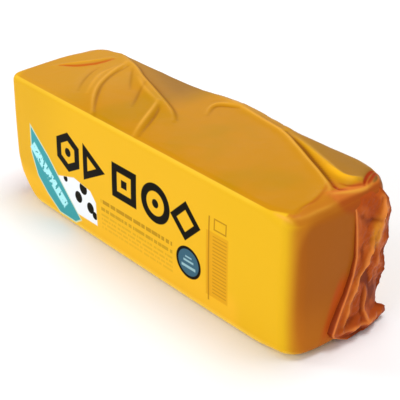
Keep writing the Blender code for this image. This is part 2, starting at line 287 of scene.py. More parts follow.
def makeCreaseGuide(creases):
    # bare edges on the bar's surface that carry each crease's number, direction, profile and tone
    sizes = filmBar["sizes"]
    points, edges, numbers, runs, profiles, tones = [], [], [], [], [], []
    for number, (through, lift, left, right, tone) in enumerate(creases):
        path = curveThrough([(*point, filmBar["topZ"])[:3] for point in through], filmBar["stepsBetween"])
        along, across, up = (path / [sizes["length"] / 2, sizes["width"] / 2, sizes["height"]]).T
        swell = sizes["swellTop"] * (2 * up - 1) ** filmBar["facePower"]
        swell = swell * (1 - along ** filmBar["lengthPower"])
        path[:, 2] += swell * (1 - abs(across) ** filmBar["widthPower"])
        slopes = np.gradient(path, axis=0)
        slopes /= np.linalg.norm(slopes, axis=1, keepdims=True)
        fade = fadeAtEnds(np.linspace(0.0, 1.0, len(path)))
        edges += [(len(points) + i, len(points) + i + 1) for i in range(len(path) - 1)]
        points += [tuple(p) for p in path]
        numbers += [number] * len(path)
        runs += list(slopes)
        profiles += [(lift * mm * f, left * mm, right * mm) for f in fade]
        tones += [[part * f for part in tone] for f in fade]
    mesh = bpy.data.meshes.new("creaseGuide")
    mesh.from_pydata(points, edges, [])
    fillAttribute(mesh, "crease", "INT", numbers)
    fillAttribute(mesh, "run", "FLOAT_VECTOR", runs)
    fillAttribute(mesh, "profile", "FLOAT_VECTOR", profiles)
    fillAttribute(mesh, "toneAt", "FLOAT_VECTOR", tones)
    return addToScene("creaseGuide", mesh)


def roundedBox(g, size, key):
    # point and outward direction on the swollen box, for keys from -1 to 1 along each axis
    keyX, keyY, keyZ = key
    up = g.ease(-1.0, 1.0, keyZ)
    near = g.ease(*filmBar["farToNear"], keyX)
    atEnd = g.ease(*filmBar["atEnd"], abs(keyX))
    atCorner = g.ease(*filmBar["farCornerFrom"], abs(keyY))
    farBase = blended(size["farEndBase"], size["farCornerBase"], atCorner)
    top = blended(size["farEndTop"], size["nearEndTop"], near)
    base = blended(farBase, size["nearEndBase"], near)
    farBack = (1.0 - near) * g.ease(0.0, 1.0, keyY)
    endEdge = blended(base, top, g.ease(*filmBar["baseToTop"], keyZ))
    endEdge = blended(endEdge, most(endEdge, size["farCornerBack"]), farBack * atEnd)
    longEdge = blended(size["baseEdge"], size["topEdge"], up)
    corner = blended(blended(size["farCorner"], size["nearCorner"], near), size["farCornerBack"], farBack)
    radii = [endEdge, blended(longEdge, corner, atEnd), blended(longEdge, blended(base, top, up), atEnd)]
    halves = [size["length"] * 0.5, size["width"] * 0.5, (size["height"] - size["footStep"]) * 0.5]
    flats, leans = [], []
    for value, half, radius in zip(key, halves, radii):
        full = value * half
        flat = most(least(full, half - radius), radius - half)
        flats.append(flat)
        leans.append((full - flat) / radius)
    lean = g.vector("NORMALIZE", g.join(*leans))
    point = [flat + part * radius for flat, part, radius in zip(flats, g.split(lean), radii)]
    along, across, height = [place / half for place, half in zip(point, halves)]
    lengthArch = 1.0 - abs(along) ** filmBar["lengthPower"]
    widthArch = 1.0 - abs(across) ** filmBar["widthPower"]
    low = most(-height, 0.0) ** 2.0
    high = most(height, 0.0) ** 2.0
    side = size["swellSide"] * (1.0 - high) * blended(1.0, size["sideAtBase"], low)
    nearSwell = size["swellNear"] * most(1.0 - high, 0.0).maths("SQRT")
    nearSwell = nearSwell * blended(1.0, size["nearAtBase"], low)
    nearSwell = nearSwell * blended(size["nearAtCorners"], 1.0, widthArch)
    farSwell = size["swellFar"] * most(1.0 - low, 0.0).maths("SQRT")
    farSwell = farSwell * blended(1.0, size["farAtTop"], high)
    farSwell = farSwell * blended(size["farAtCorners"], 1.0, widthArch)
    nearHalf = along.maths("GREATER_THAN", 0.0)
    endward = abs(along) ** filmBar["endPower"]
    point[0] = point[0] + endward * (nearSwell * nearHalf - farSwell * (1.0 - nearHalf))
    sideward = abs(across) ** filmBar["facePower"] * across.maths("SIGN")
    point[1] = point[1] + side * sideward * lengthArch
    rise = most(height, 0.0) ** filmBar["facePower"]
    point[2] = point[2] + size["swellTop"] * rise * lengthArch * widthArch + halves[2] + size["footStep"]
    # the flat foot stands a step below the rest of the base
    outOfFoot = most(abs(point[0]) - size["footLength"] * 0.5, abs(point[1]) - size["footWidth"] * 0.5)
    under = g.ease(-0.9, -1.0, g.split(lean)[2]) * g.ease(0.0012, 0.0, outOfFoot)
    point[2] = point[2] - size["footStep"] * under
    return g.join(*point), lean


def raiseCreases(g, film, guide, count, height):
    # goes through the creases one by one and adds up how far they lift and tint each point
    start = g.add("GeometryNodeRepeatInput")
    end = g.add("GeometryNodeRepeatOutput")
    start.socket.node.pair_with_output(end.socket.node)
    g.feed(count, start.socket.node, "Iterations")
    g.feed(film, start.socket.node, "Geometry")
    numbers = {2: g.recall("crease", "INT"), 3: start.outlet("Iteration")}
    chosen = g.add("FunctionNodeCompare", {"data_type": "INT", "operation": "EQUAL"}, numbers)
    onPoints = {"domain": "POINT"}
    one = g.add("GeometryNodeSeparateGeometry", onPoints, {"Geometry": guide, "Selection": chosen})
    closest = g.add("GeometryNodeProximity", {"target_element": "EDGES"}, {"Geometry": one})
    index = g.add("GeometryNodeSampleNearest", onPoints, {"Geometry": one})
    read = {}
    for name in ("run", "profile", "toneAt"):
        values = {"Geometry": one, "Value": g.recall(name), "Index": index}
        read[name] = g.add("GeometryNodeSampleIndex", {"data_type": "FLOAT_VECTOR", **onPoints}, values)
    away = g.vector("SUBTRACT", g.add("GeometryNodeInputPosition"), closest.outlet("Position"))
    turned = g.vector("DOT_PRODUCT", g.vector("CROSS_PRODUCT", g.recall("lean"), read["run"]), away)
    lift, left, right = g.split(read["profile"])
    width = blended(right, left, turned.maths("GREATER_THAN", 0.0))
    blunt = filmBar["blunt"] * mm
    gap = closest.outlet("Distance")
    slope = (gap * gap + blunt * blunt).maths("SQRT") - blunt
    lift = lift * (-((slope / width) ** filmBar["falloff"])).maths("EXPONENT")
    upper = g.ease(*filmBar["raised"], g.split(g.add("GeometryNodeInputPosition"))[2] / height)
    film = g.store(start.outlet("Geometry"), "rise", g.recall("rise", "FLOAT") + lift * upper, "FLOAT")
    tones = []
    for part, reach in zip(g.split(read["toneAt"]), filmBar["toneWidths"]):
        tones.append(part * (-((gap / (reach * mm)) ** 2.0)).maths("EXPONENT"))
    film = g.store(film, "tone", g.vector("MAXIMUM", g.recall("tone"), g.join(*tones)))
    g.feed(film, end.socket.node, "Geometry")
    return end.outlet("Geometry")


def wrinkles(g, size):
    # a slight unevenness of the film, strongest on top, behind and at the ends
    x, y, z = g.split(g.add("GeometryNodeInputPosition"))
    endward, sideward, upward = g.split(g.recall("lean"))
    main, cross = filmBar["slant"]
    slanted = g.join(x * main + y * cross, y - x * cross, z)
    cloud = g.noise(g.vector("SCALE", slanted, scale=1.0 / size["wrinkleSize"]), 1.0, 2.0)
    ridged = 0.5 - abs(cloud - 0.5) * filmBar["ridgeContrast"]
    ends = g.ease(0.5, 1.0, abs(endward)) * filmBar["unevenEnds"]
    back = g.ease(0.2, 0.9, sideward) * filmBar["unevenBack"]
    where = least(g.ease(0.3, 0.9, upward) + ends + back + filmBar["unevenEverywhere"], 1.0)
    return ridged * where * size["wrinkleDepth"] * g.ease(*filmBar["evenNearBase"], z)


def buildFilmTree(sizes):
    tree = bpy.data.node_groups.new("wrapFilmAroundBar", "GeometryNodeTree")
    face = tree.interface
    face.new_socket("Geometry", in_out="OUTPUT", socket_type="NodeSocketGeometry")
    for name, value in sizes.items():
        kind = "NodeSocketInt" if isinstance(value, int) else "NodeSocketFloat"
        face.new_socket(name, in_out="INPUT", socket_type=kind).default_value = value
    face.new_socket("creaseCount", in_out="INPUT", socket_type="NodeSocketInt")
    face.new_socket("creaseGuide", in_out="INPUT", socket_type="NodeSocketObject")
    face.new_socket("film", in_out="INPUT", socket_type="NodeSocketMaterial")
    g = Graph(tree)
    size = {s.name: Wire(g, s) for s in tree.nodes.new("NodeGroupInput").outputs if s.name}
    cells = {"Vertices X": size["cellsX"], "Vertices Y": size["cellsY"], "Vertices Z": size["cellsZ"]}
    film = g.add("GeometryNodeMeshCube", None, {"Size": (2.0, 2.0, 2.0), **cells})
    even = g.split(g.add("GeometryNodeInputPosition"))
    key = [blended(v, (v * (math.pi / 2.0)).maths("SINE"), size["crowding"]) for v in even]
    point, lean = roundedBox(g, size, key)
    film = g.store(film, "lean", lean)
    film = g.store(film, "rise", 0.0, "FLOAT")
    film = g.store(film, "tone", (0.0, 0.0, 0.0))
    film = g.add("GeometryNodeSetPosition", None, {"Geometry": film, "Position": point})
    guide = g.add("GeometryNodeObjectInfo", None, {"Object": size["creaseGuide"]}).outlet("Geometry")
    film = raiseCreases(g, film, guide, size["creaseCount"], size["height"])
    rise = g.recall("rise", "FLOAT") + wrinkles(g, size)
    lifted = g.vector("SCALE", g.recall("lean"), scale=rise)
    film = g.add("GeometryNodeSetPosition", None, {"Geometry": film, "Offset": lifted})
    film = g.add("GeometryNodeSetShadeSmooth", None, {"Geometry": film, "Shade Smooth": True})
    film = g.add("GeometryNodeRealizeInstances", None, {"Geometry": film})
    film = g.add("GeometryNodeSetMaterial", None, {"Geometry": film, "Material": size["film"]})
    g.add("NodeGroupOutput", None, {"Geometry": film})
    return tree


def meshFromTree(name, tree, values):
    # runs a node tree on a new object and keeps the result as a plain mesh
    made = addToScene(name, bpy.data.meshes.new(name))
    modifier = made.modifiers.new(name, "NODES")
    modifier.node_group = tree
    for item in tree.interface.items_tree:
        if item.in_out == "INPUT" and item.name in values:
            modifier[item.identifier] = values[item.name]
    bpy.context.view_layer.update()
    graph = bpy.context.evaluated_depsgraph_get()
    made.data = bpy.data.meshes.new_from_object(made.evaluated_get(graph))
    made.data.name = name
    made.modifiers.remove(modifier)
    return made


def makeFilmBar(material):
    guide = makeCreaseGuide(filmBar["creases"])
    tree = buildFilmTree(filmBar["sizes"])
    values = {"creaseCount": len(filmBar["creases"]), "creaseGuide": guide, "film": material}
    bar = meshFromTree("filmBar", tree, {**filmBar["sizes"], **values})
    bpy.data.objects.remove(guide, do_unlink=True)
    return bar


# The gathered film at each end, folded against the end face

filmFlap = {
    # height, fold y, fold off the end, middle off, free edge y, free edge off, in millimetres
    "stations": [
        (1.2, 2, 7, 11, 35, 9), (5, -6, 9.2, 13, 42, 9), (8.5, -11.5, 10.8, 13.2, 42.5, 7.5),
        (10.5, -13, 11.6, 12.6, 37.5, 5.2), (13, -14.5, 12.2, 12, 36.5, 4.4),
        (18, -12, 11.8, 10, 36, 3.4), (26, -6.5, 10.4, 8, 40, 3.6),
        (36, 0.5, 9, 7, 42, 4.6), (48, 6, 8.2, 6.4, 42, 3.6), (60, 9, 7.4, 6, 43, 4.4),
        (72, 9, 6.6, 5.8, 43, 5.2), (82, 9, 5.6, 5.2, 42, 5.4), (92, 9, 4, 4, 40, 3.6),
        (99, 9, 1, 1.4, 36, 0.5), (103, 10, -3, -2.6, 30, -4),
    ],
    # each crease: points (y, z) on the end, height, width to its left and right, in millimetres,
    # and how much painted pale highlight, dark shade and yellow highlight there is along its line
    "creases": [
        ([(36, 94), (35, 86), (33, 78), (30, 70)], 2.4, 3, 2.4, (0.9, 0, 0.3)),
        ([(31, 80), (28, 73), (28, 66), (25, 60)], 2.4, 3.6, 3, (0.3, 0, 1.1)),
        ([(26, 66), (22.5, 58), (17.5, 49), (9.5, 39), (3, 29), (-5, 16)], 2.2, 2.2, 2.6, (1, 0, 0.2)),
        ([(29, 76), (27.5, 66), (28, 52)], -1.6, 2.2, 2.2, (0, 0.6, 0)),
        ([(21, 43), (23, 36), (25.5, 26), (26, 15)], -2, 2.8, 3.2, (0, 1, 0)),
        ([(29, 42), (30, 32), (30, 20)], -0.6, 2, 2.4, (0, 0.7, 0)),
        ([(11, 91), (18, 84), (26, 81), (34, 79), (43, 81)], -1.3, 3.2, 3.4, (0, 0.55, 0)),
        ([(16, 72), (15, 62), (15, 52)], -1.3, 2, 2.2, (0, 0.5, 0)),
        ([(19, 32), (15.5, 22), (13, 10)], -1.6, 2, 2, (0, 0.7, 0)),
        ([(31, 56), (32, 44), (33, 30)], 1.2, 2.2, 2.4, (0, 0, 0)),
        ([(21, 32), (18, 19), (19, 8)], 1.8, 2, 2, (0.7, 0, 0)),
        ([(-8, 11), (6, 10), (22, 8), (37, 6)], 1.5, 2, 2.2, (0.6, 0, 0)),
        ([(-6, 4), (8, 4), (26, 3)], -1.2, 1.4, 1.6, (0, 0.7, 0)),
        ([(-9, 15), (0, 16), (10, 16)], -1.2, 1.8, 1.8, (0, 0.5, 0)),
    ],
    "toneWidths": (1.2, 1.8, 4.0), "stepsBetween": 10,
    "cellsInward": 12, "cells": (110, 190),
    # depth of its root in the bar, the film's thickness, how far the root lies aside, and the least
    # gap between the flap and the end, in millimetres
    "buried": 20.0, "skin": 2.2, "foot": 4.0, "clear": 0.8,
    # each crumple: size and depth in millimetres, and how far its pattern is moved
    "crumples": ((17.0, 1.1, 0.0), (5.0, 0.30, 5.0)),
    "ridges": (3.2, 1.0, 2.3),  # of a crumple: strength of its large and small ridges, and their ratio
    "thinFrom": (0.55, 0.92),  # shares of the width between which the flap comes free of the end
    "merges": (92.0, 84.0),  # heights between which it melts into the end's top edge
    # the painted highlight along the fold and its width, and the painted shade along the free hem and where
    # it starts
    "foldPale": 0.9, "foldWidth": 1.1, "hemDark": 0.6, "hemFrom": 0.88,
    "seeds": {"filmFlapNear": 3.7, "filmFlapFar": 11.2},
}


def creaseRise(points, path, lift, left, right, tone):
    nearest = np.full(len(points), np.inf)
    side = np.zeros(len(points))
    place = np.zeros(len(points))
    for i, (a, b) in enumerate(zip(path, path[1:])):
        run = b - a
        t = np.clip((points - a) @ run / (run @ run), 0.0, 1.0)
        away = points - a - t[:, None] * run
        gap = np.linalg.norm(away, axis=1)
        closer = gap < nearest
        nearest = np.where(closer, gap, nearest)
        side = np.where(closer, away[:, 1] * -run[2] + away[:, 2] * run[1], side)
        place = np.where(closer, (i + t) / (len(path) - 1), place)
    width = np.where(side > 0.0, left, right) * mm
    blunt = filmBar["blunt"] * mm
    slope = np.sqrt(nearest ** 2 + blunt ** 2) - blunt
    fade = fadeAtEnds(place)
    reach = np.array(filmFlap["toneWidths"]) * mm
    tones = fade[:, None] * np.array(tone) * np.exp(-(nearest[:, None] / reach) ** 2)
    return lift * mm * fade * np.exp(-((slope / width) ** filmBar["falloff"])), tones


def endSurface(side, y, z):
    # how far the swollen end face stands off the plane of the bar's end, as in roundedBox
    sizes = filmBar["sizes"]
    half = sizes["height"] / 2
    up = (z - half) / half
    low, high = np.clip(-up, 0.0, 1.0) ** 2, np.clip(up, 0.0, 1.0) ** 2
    arch = 1.0 - np.clip(abs(y) * 2 / sizes["width"], 0.0, 1.0) ** filmBar["widthPower"]
    if side > 0:
        off = sizes["swellNear"] * np.sqrt(1.0 - high) * (1.0 + low * (sizes["nearAtBase"] - 1.0))
        off *= blended(sizes["nearAtCorners"], 1.0, arch)
        radius = sizes["nearCorner"]
    else:
        off = sizes["swellFar"] * np.sqrt(1.0 - low) * (1.0 + high * (sizes["farAtTop"] - 1.0))
        off *= blended(sizes["farAtCorners"], 1.0, arch)
        radius = sizes["farCornerBack"]
    past = np.clip(y - sizes["width"] / 2 + radius, 0.0, radius)
    return off - radius + np.sqrt(radius ** 2 - past ** 2)


def crumple(y, z, seed, size):
    large, small, ratio = filmFlap["ridges"]
    at = Vector((seed, y, z)) / (size * mm)
    return 1.0 - large * abs(noise.noise(at)) - small * abs(noise.noise(at * ratio))


def flapFront(across, height, side, seed):
    # the outer face of a flap: below 0 across it slopes from the fold down into the bar
    table = np.array(filmFlap["stations"], dtype=float) * mm
    foldY, foldOff, middleOff, edgeY, edgeOff = (
        np.interp(height, table[:, 0], table[:, column]) for column in range(1, 6)
    )
    onFlap = np.clip(across, 0.0, 1.0)
    y = foldY + (edgeY - foldY) * onFlap
    off = foldOff + (middleOff - foldOff) * easeArray(0.0, 0.5, onFlap)
    off = off + (edgeOff - off) * easeArray(0.5, 1.0, onFlap)
    onEnd = np.stack([np.zeros_like(y), y, height], axis=1)
    rise = np.zeros(len(y))
    for size, depth, moved in filmFlap["crumples"]:
        rise += depth * mm * np.array([crumple(*spot, seed + moved, size) for spot in zip(y, height)])
    tones = np.zeros((len(y), 3))
    for through, lift, left, right, tone in filmFlap["creases"]:
        path = curveThrough([(0.0, *point) for point in through], filmFlap["stepsBetween"])
        lifts, tinted = creaseRise(onEnd, path, lift, left, right, tone)
        rise += lifts
        tones = np.maximum(tones, tinted)
    rise *= easeArray(0.0, 0.15, onFlap) * easeArray(1.0, 0.9, height / filmBar["sizes"]["height"])
    # painted highlight along the fold, painted shade on the side that turns inward and along the free hem
    before = np.clip(-across, 0.0, 1.0)
    fromFold = (edgeY - foldY) * onFlap
    foldLine = np.exp(-(fromFold / (filmFlap["foldWidth"] * mm)) ** 2) * (before < 0.02)
    hem = easeArray(filmFlap["hemFrom"], 1.0, onFlap)
    tones[:, 0] = np.maximum(tones[:, 0], filmFlap["foldPale"] * foldLine)
    tones[:, 1] = np.maximum(tones[:, 1], easeArray(0.02, 0.12, before))
    tones[:, 1] = np.maximum(tones[:, 1], filmFlap["hemDark"] * hem)
    # nowhere sinks into the end face, but for the top edge, where the flap melts into it
    off = off + rise
    bed = endSurface(side, y, height) + filmFlap["clear"] * mm
    mergeFrom, mergeTo = filmFlap["merges"]
    kept = easeArray(mergeFrom * mm, mergeTo * mm, height)
    off = np.maximum(off, bed * kept + off * (1.0 - kept))
    y = y - filmFlap["foot"] * mm * before
    off = off + (-filmFlap["buried"] * mm - off) * before ** 1.3
    return np.stack([filmBar["sizes"]["length"] / 2 + off, y, height], axis=1), rise, tones


def makeFilmFlap(name, side, material):
    seed = filmFlap["seeds"][name]
    wideCells, highCells = filmFlap["cells"]
    inward = np.linspace(-1.0, 0.0, filmFlap["cellsInward"], endpoint=False)
    columns = np.array([*inward, *np.linspace(0.0, 1.0, wideCells)])
    heights = np.linspace(filmFlap["stations"][0][0], filmFlap["stations"][-1][0], highCells) * mm
    wide, high = len(columns), len(heights)
    across = np.tile(columns, high)
    front, rise, tones = flapFront(across, np.repeat(heights, wide), side, seed)
    back = front - [filmFlap["skin"] * mm, 0.0, 0.0]
    root = filmBar["sizes"]["length"] / 2 - filmFlap["buried"] * mm
    thin = easeArray(*filmFlap["thinFrom"], across)
    back[:, 0] = np.minimum(back[:, 0], root + (back[:, 0] - root) * thin)
    points = np.concatenate([front, back]) * [side, 1.0, 1.0]
    quads = []
    for i in range(high - 1):
        for j in range(wide - 1):
            a = i * wide + j
            quad = [a, a + 1, a + wide + 1, a + wide]
            quads += [quad, [corner + wide * high for corner in reversed(quad)]]
    rim = list(range(wide)) + [i * wide + wide - 1 for i in range(1, high)]
    rim += [(high - 1) * wide + j for j in reversed(range(wide - 1))]
    rim += [i * wide for i in reversed(range(1, high - 1))]
    for here, there in zip(rim, rim[1:] + rim[:1]):
        quads.append([there, here, here + wide * high, there + wide * high])
    mesh = bpy.data.meshes.new(name)
    mesh.from_pydata([tuple(p) for p in points], [], quads)
    fillAttribute(mesh, "rise", "FLOAT", np.concatenate([rise, rise]))
    fillAttribute(mesh, "tone", "FLOAT_VECTOR", np.concatenate([tones, tones]))
    turned = bmesh.new()
    turned.from_mesh(mesh)
    bmesh.ops.recalc_face_normals(turned, faces=turned.faces)
    turned.to_mesh(mesh)
    turned.free()
    mesh.shade_smooth()
    mesh.set_sharp_from_angle(angle=math.radians(60.0))
    mesh.materials.append(material)
    return addToScene(name, mesh)


# The film's finish and its print

filmFinish = {
    "front": paint(236, 184, 32),
    "frontDull": paint(238, 184, 36),
    "frontLow": paint(244, 187, 42),
    "frontFar": paint(228, 174, 32),
    "edgeHighlight": paint(252, 214, 72),
    "top": paint(199, 135, 16),
    "topPatch": paint(190, 134, 10),
    "topFar": paint(208, 148, 40),
    "shadedBackStrip": paint(158, 112, 46),
    "shadedBackCorner": paint(126, 88, 38),
    "rim": paint(200, 122, 30),
    "oval": paint(180, 100, 26),
    "ovalLow": paint(194, 112, 30),
    "fold": paint(176, 84, 26),
    "foldHighlight": paint(214, 118, 42),
    "footShadow": paint(202, 84, 26),
    "pale": paint(240, 176, 64),
    "dark": paint(150, 90, 8),
    "darkEnd": paint(166, 58, 14),
    "darkFar": paint(200, 102, 24),
    "yellow": paint(244, 178, 14),
    "baseHighlight": paint(255, 216, 92),
    "roughness": 0.32, "roughnessSpread": 0.16, "gloss": 0.03,
    "bump": 0.08, "cloudInBump": 0.8,
    "cloudScale": 28.0, "patchScale": 19.0, "crinkleScale": 95.0,
    # from where to where each tint grows: x and y from the bar's middle, z above its base, in millimetres
    "lowZ": (34, 18), "lowX": (112, 100), "dullNearX": (105, 60), "dullFarX": (-170, -60),
    "frontFarX": (-60, -130), "baseHighlightZ": (8, 2.5), "topFarX": (-40, -110),
    "stripFarX": (-4, -40), "stripNearX": (4, 40), "stripEdge": (0, 3.5), "stripDeep": (4, 20),
    "rimPast": (-0.5, 2), "rimY": (14, 8), "bandPast": (0, 2.5), "bandY": (-9, -1),
    "ovalLowZ": (50, 12), "footPast": (0, 6), "footTopZ": (56, 40), "footBaseZ": (3, 18),
    "foldY": (-7, 1), "foldPast": (-2, 4), "backCornerY": (35, 42), "backCornerZ": (84, 95),
    "endBandY": (-7, -1), "endBandZ": (101, 103.5), "shadedBackStripZ": (92, 102),
    "edgeHighlightX": (132, 108), "topCornerPast": (0, 5), "topCornerY": (28, 34),
    "farEdgePast": (-138, -146), "nearX": (126, 140), "nearY": (10, -2), "darkFarX": (-104, -114),
    # the same for the outward direction, the oval, the noises and the height of the creases
    "frontSide": (0.3, -0.3), "endShare": (0.38, 0.97), "topShare": (0.7, 0.8), "printSide": (-0.75, -0.9),
    "overEdgeUp": (0.2, 0.5), "overEdgeEnd": (0.02, 0.2), "overEdgeSide": (-0.9, -0.35),
    "edgeHighlightUp": (0.15, 0.55), "edgeHighlightSide": (-0.3, -0.5),
    "ovalRim": (1.05, 0.9), "patchShare": (0.45, 0.65), "paleRise": (0.8, 2.8), "darkRise": (-0.3, -1.5),
    # the middle and half sizes of the oval on the ends, as y and z
    "ovalMiddle": (-8, 50), "ovalHalf": (33, 52),
    # the line where the painted shade past the long crease begins, in shares of the bar's length and width
    "stripLine": ((0.0, 1.0), (0.1, 0.95), (0.193, 0.868), (0.263, 0.76), (0.357, 0.64), (0.46, 0.53),
                  (0.5, 0.80), (0.53, 0.95), (0.62, 0.925), (0.717, 0.89), (0.8, 0.82), (0.9, 0.71),
                  (0.96, 0.68), (1.0, 0.80)),
}

flapFinish = {
    "film": paint(182, 78, 24),
    "cloudy": paint(204, 98, 34),
    "pale": paint(250, 150, 72),
    "dark": paint(126, 44, 6),
    "yellow": paint(240, 158, 34),
    "roughness": 0.34, "roughnessSpread": 0.2, "gloss": 0.05,
    "bump": 0.12, "cloudInBump": 0.0,
    "cloudScale": 45.0, "crinkleScale": 130.0,
    "cloudShare": (0.45, 0.65), "paleRise": (0.7, 2.4), "darkRise": (0.0, -1.8),
}

# places on the printed side in millimetres: x from the middle of the bar, z above its base
printLayout = {
    "ink": paint(14, 11, 3),
    "headingX": (-77, -45.6, -10, 24.4, 55.4), "headingZ": 64.5,
    "headingHalf": 15.3, "headingStroke": 6.0, "headingTriangle": (-12.5, 14.0),
    "headingMarks": (3.6, 3.2, 3.4),  # half sizes of the marks in the hexagon, the square and the wheel
    "badge": (58.6, 33.0, 12.5), "badgeRim": 2.2,
    "badgeBars": ((-3.6, 7, 1.1), (1, 5, 0.8), (4.2, 3.2, 0.6)),  # up from its middle, half sizes
    "badgeInk": paint(60, 100, 120), "badgeMarks": paint(150, 190, 200),
    "banner": paint(64, 160, 168), "bannerMarks": paint(176, 240, 246), "bannerRim": paint(206, 226, 196),
    "bannerCorners": ((-127.5, 70), (-128.3, 45), (-121, 27), (-109, 16), (-93, 5.5), (-72, 5.5),
                      (-64, 11), (-104, 51.5)),
    "bannerStart": (-121.4, 48.7), "bannerRun": (0.754, 0.655), "bannerBox": (22, 0, 28, 4.6),
    "blotPitch": (0.34, 0.16), "blots": (0.38, 0.46), "bannerRimWidth": 1.1,
    "patch": paint(240, 245, 252),
    "patchCorners": ((-92, 39), (-90.5, 29), (-80, 15), (-44, 15.5), (-44.5, 35), (-51, 42.5), (-71, 45.5)),
    "patchSpots": ((-59.4, 41, 4.6), (-66.1, 31, 4.4), (-80.6, 21, 3), (-51.6, 27.5, 4.2),
                   (-82, 40.5, 2.6), (-46.5, 23, 3)),
    "rowInk": paint(120, 74, 10),
    "rows": ((40.0, 1.6, 0.5), (33.5, 1.4, 0.38), (28.5, 0.9, 0.2), (24.8, 0.9, 0.2), (21.2, 0.9, 0.17),
             (17.6, 0.9, 0.15)),
    "rowsFrom": -38.0, "rowsTo": 42.0, "dashPitch": 0.42, "dashShift": 17.3, "dashes": (0.38, 0.42),
    "panel": paint(224, 160, 26), "panelMarks": paint(176, 118, 20),
    # boxes of the panel, as the middle's x and z and the half sizes
    "panelBox": (86.5, 42.5, 10.5, 25.5), "panelLines": (89, 42, 6.6, 23.5), "linePitch": 0.36,
    "panelRule": (78.6, 46, 0.7, 33), "panelFrame": (89, 74.5, 6, 4.5), "frameStroke": 1.1,
}


def newMaterial(name):
    material = bpy.data.materials.new(name)
    material.use_nodes = True
    return material, Graph(material.node_tree), material.node_tree.nodes["Principled BSDF"]


def inside(field, soft=0.25):
    # 1 where a distance field is negative and 0 outside, with a soft edge in millimetres
    return least(most(0.5 - field / (2.0 * soft), 0.0), 1.0)


def boxField(x, z, halfX, halfZ):
    return most(abs(x) - halfX, abs(z) - halfZ)


def boxAt(x, z, place):
    middleX, middleZ, halfX, halfZ = place
    return boxField(x - middleX, z - middleZ, halfX, halfZ)


def roundField(x, z, radius):
    return (x * x + z * z).maths("SQRT") - radius


def polygonField(x, z, corners):
    # negative inside a convex polygon, whose corners are given counter-clockwise
    sides = []
    for (ax, az), (bx, bz) in zip(corners, (*corners[1:], corners[0])):
        long = math.hypot(bx - ax, bz - az)
        sides.append((x - ax) * ((bz - az) / long) - (z - az) * ((bx - ax) / long))
    return most(*sides)


def outlineOf(field, stroke):
    return abs(field + stroke / 2.0) - stroke / 2.0


def headingField(x, z):
    # five bold outlined shapes: hexagon, triangle, square, wheel and diamond
    half, stroke = printLayout["headingHalf"], printLayout["headingStroke"]
    first, second, third, fourth, fifth = [x - centre for centre in printLayout["headingX"]]
    up = z - printLayout["headingZ"]
    left, right = printLayout["headingTriangle"]
    hexagonMark, squareMark, wheelMark = printLayout["headingMarks"]
    hexagon = most(abs(first) * 0.5 + abs(up) * 0.866, abs(first)) - (half - 1.0)
    triangle = polygonField(second, up, ((left, -half), (right, 0), (left, half)))
    square = boxField(third, up, half - 1.5, half - 1.5)
    wheel = roundField(fourth, up, half)
    diamond = (abs(fifth) + abs(up) - half) * 0.7071
    outlines = [outlineOf(hexagon, stroke), outlineOf(triangle, stroke * 0.9), outlineOf(square, stroke),
                outlineOf(wheel, stroke), outlineOf(diamond, stroke * 0.8)]
    marks = [roundField(first, up, hexagonMark), boxField(third, up, squareMark, squareMark),
             roundField(fourth, up, wheelMark)]
    return least(*outlines, *marks)


def mixer(g, look):
    # tint mixes a colour of the look into another, share grows from 0 to 1 between two of its values
    def tint(base, name, amount):
        return g.colour(base, look[name], amount)

    def share(name, value):
        return g.ease(*look[name], value)
    return tint, share


def addPrint(g, colour, x, z):
    look = printLayout
    tint, share = mixer(g, look)
    # the darker side panel with its rule, lines and little frame
    colour = tint(colour, "panel", inside(boxAt(x, z, look["panelBox"])) * 0.75)
    lines = inside(abs((z * look["linePitch"]).maths("FRACT") - 0.5) * 2.8 - 0.55, 0.2)
    column = inside(boxAt(x, z, look["panelLines"])) * lines
    rule = inside(boxAt(x, z, look["panelRule"]))
    small = inside(outlineOf(boxAt(x, z, look["panelFrame"]), look["frameStroke"]))
    colour = tint(colour, "panelMarks", most(column * 0.5, rule * 0.8, small * 0.8))
    # thin rows of dashes
    middle = (look["rowsFrom"] + look["rowsTo"]) / 2
    reach = (look["rowsTo"] - look["rowsFrom"]) / 2
    rows = []
    for number, (height, half, strength) in enumerate(look["rows"]):
        values = {"W": x * look["dashPitch"] + number * look["dashShift"], "Scale": 1.0, "Detail": 1.0}
        dots = g.add("ShaderNodeTexNoise", {"noise_dimensions": "1D"}, values)
        row = inside(boxField(x - middle, z - height, reach, half))
        rows.append(row * share("dashes", dots) * strength)
    colour = tint(colour, "rowInk", most(*rows))
    # a pale patch with dark round spots
    patch = polygonField(x, z, look["patchCorners"])
    spots = least(*(roundField(x - left, (z - up) * 0.9, size) for left, up, size in look["patchSpots"]))
    colour = tint(colour, "patch", inside(patch, 0.5))
    colour = tint(colour, "ink", inside(most(spots, patch)))
    # a slanted banner with a pale border and a line of irregular marks
    banner = polygonField(x, z, look["bannerCorners"])
    colour = tint(colour, "bannerRim", inside(banner, 0.5))
    colour = tint(colour, "banner", inside(banner + look["bannerRimWidth"], 0.4))
    (startX, startZ), (runX, runZ) = look["bannerStart"], look["bannerRun"]
    along = (x - startX) * runX - (z - startZ) * runZ
    across = (x - startX) * runZ + (z - startZ) * runX
    pitchAlong, pitchAcross = look["blotPitch"]
    values = {"Vector": g.join(along * pitchAlong, across * pitchAcross, 0.0), "Scale": 1.0, "Detail": 2.0}
    blots = g.add("ShaderNodeTexNoise", {"noise_dimensions": "2D"}, values)
    marks = inside(boxAt(along, across, look["bannerBox"]), 0.6) * share("blots", blots)
    colour = tint(colour, "bannerMarks", marks)
    # the round badge
    badgeX, badgeZ, size = look["badge"]
    disc = roundField(x - badgeX, z - badgeZ, size)
    colour = tint(colour, "ink", inside(disc))
    colour = tint(colour, "badgeInk", inside(disc + look["badgeRim"]))
    bars = least(*(boxField(x - badgeX, z - badgeZ - up, *half) for up, *half in look["badgeBars"]))
    colour = tint(colour, "badgeMarks", inside(bars))
    return tint(colour, "ink", inside(headingField(x, z)))


